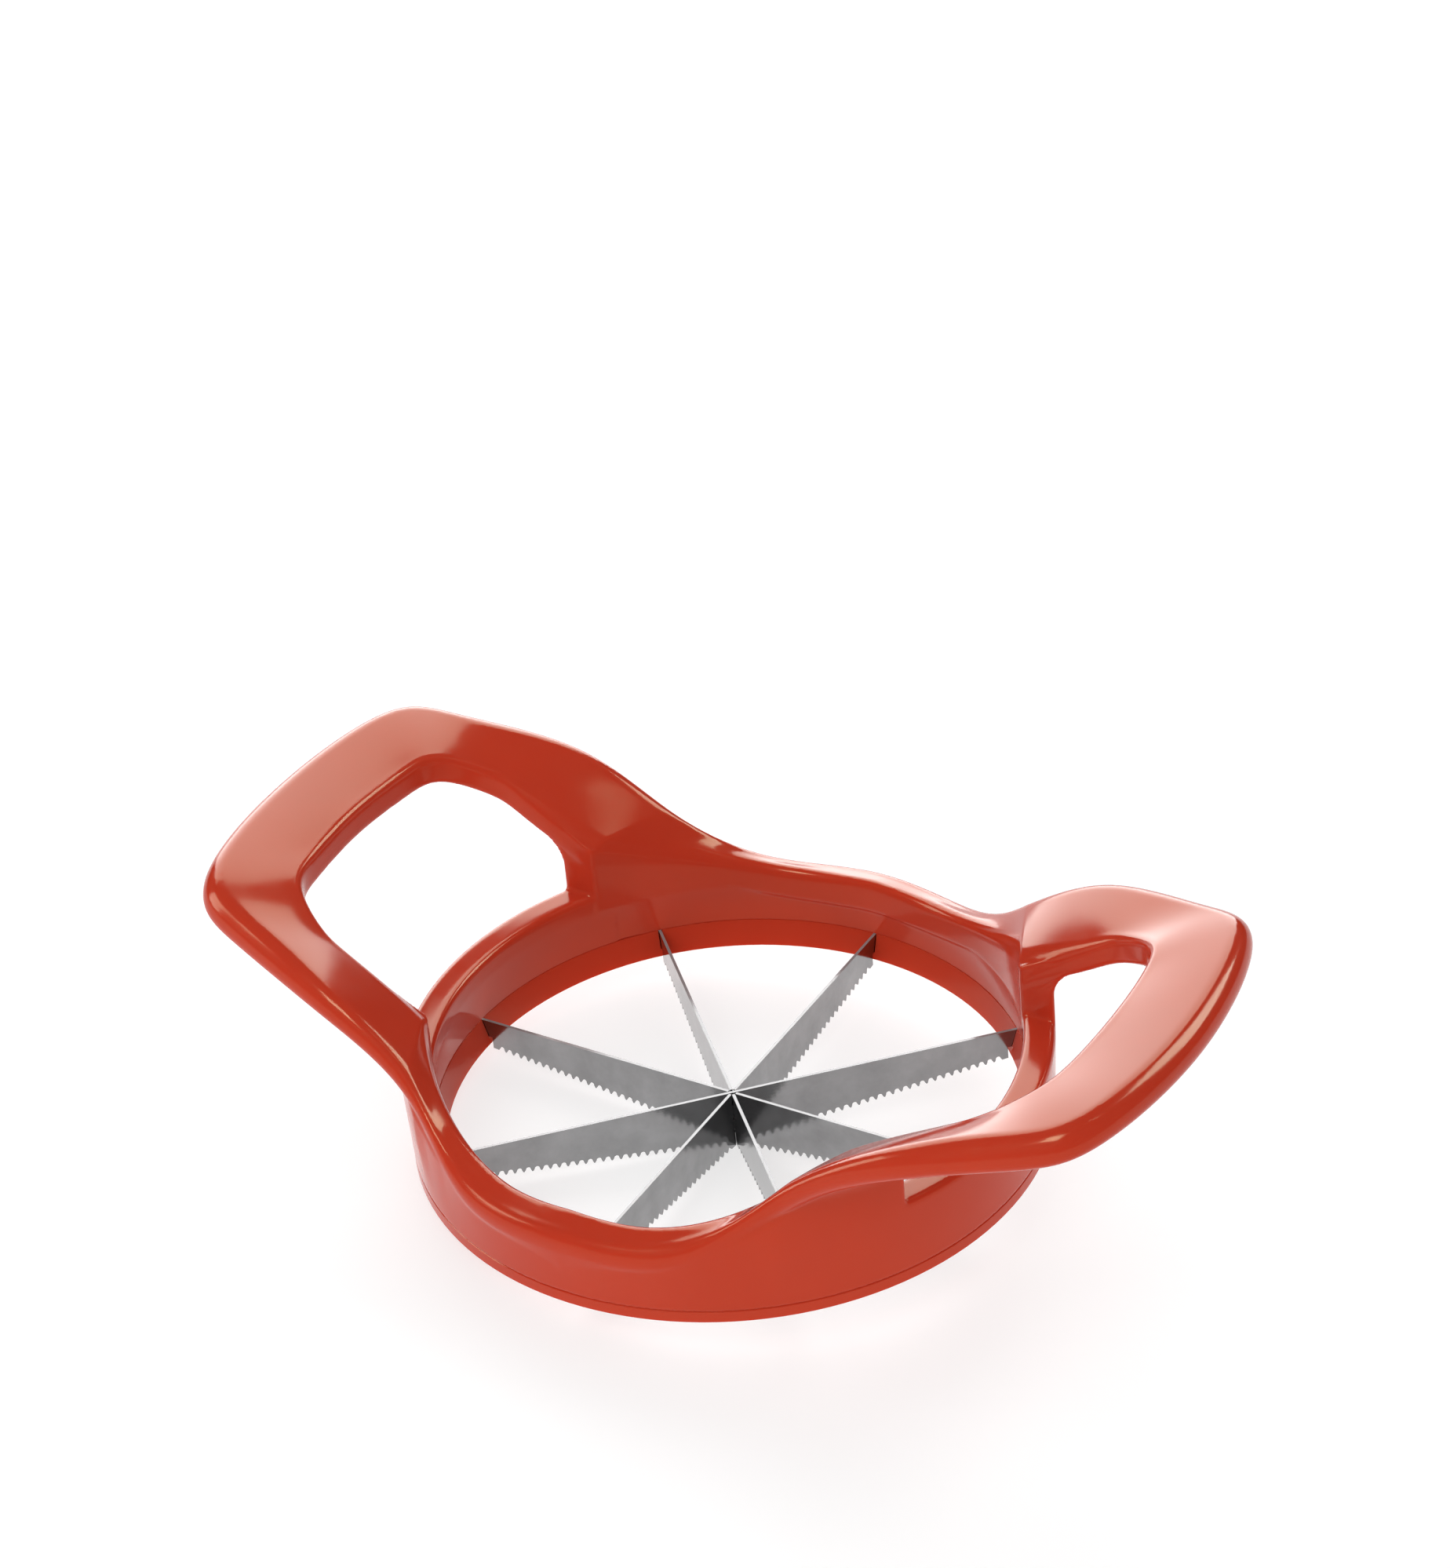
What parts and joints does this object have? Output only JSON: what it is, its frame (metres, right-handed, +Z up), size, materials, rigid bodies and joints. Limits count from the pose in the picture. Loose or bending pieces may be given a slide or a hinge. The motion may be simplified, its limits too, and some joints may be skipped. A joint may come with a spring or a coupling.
{
  "type": "tomato slicer",
  "caption": "Push-down tomato slicer: a glossy ring body with two raised loop handles, a blade ring under it and toothed steel blades crossing in a star.",
  "frame": {"origin": "on the ring's axis, at the lowest point of the blade crossing", "axes": "+X from the axis towards one handle bar, +Z up along the ring's axis"},
  "size_m": [0.174, 0.1098, 0.0508],
  "materials": {
    "red_plastic": "glossy orange-red moulding",
    "blade_steel": "bright rolled stainless strip"
  },
  "bodies": {
    "root": {"body": "red_plastic", "blade_ring": "red_plastic", "blade_across": "blade_steel", "blade_diagonal_a": "blade_steel", "blade_middle": "blade_steel", "blade_diagonal_b": "blade_steel"}
  },
  "joints": []
}
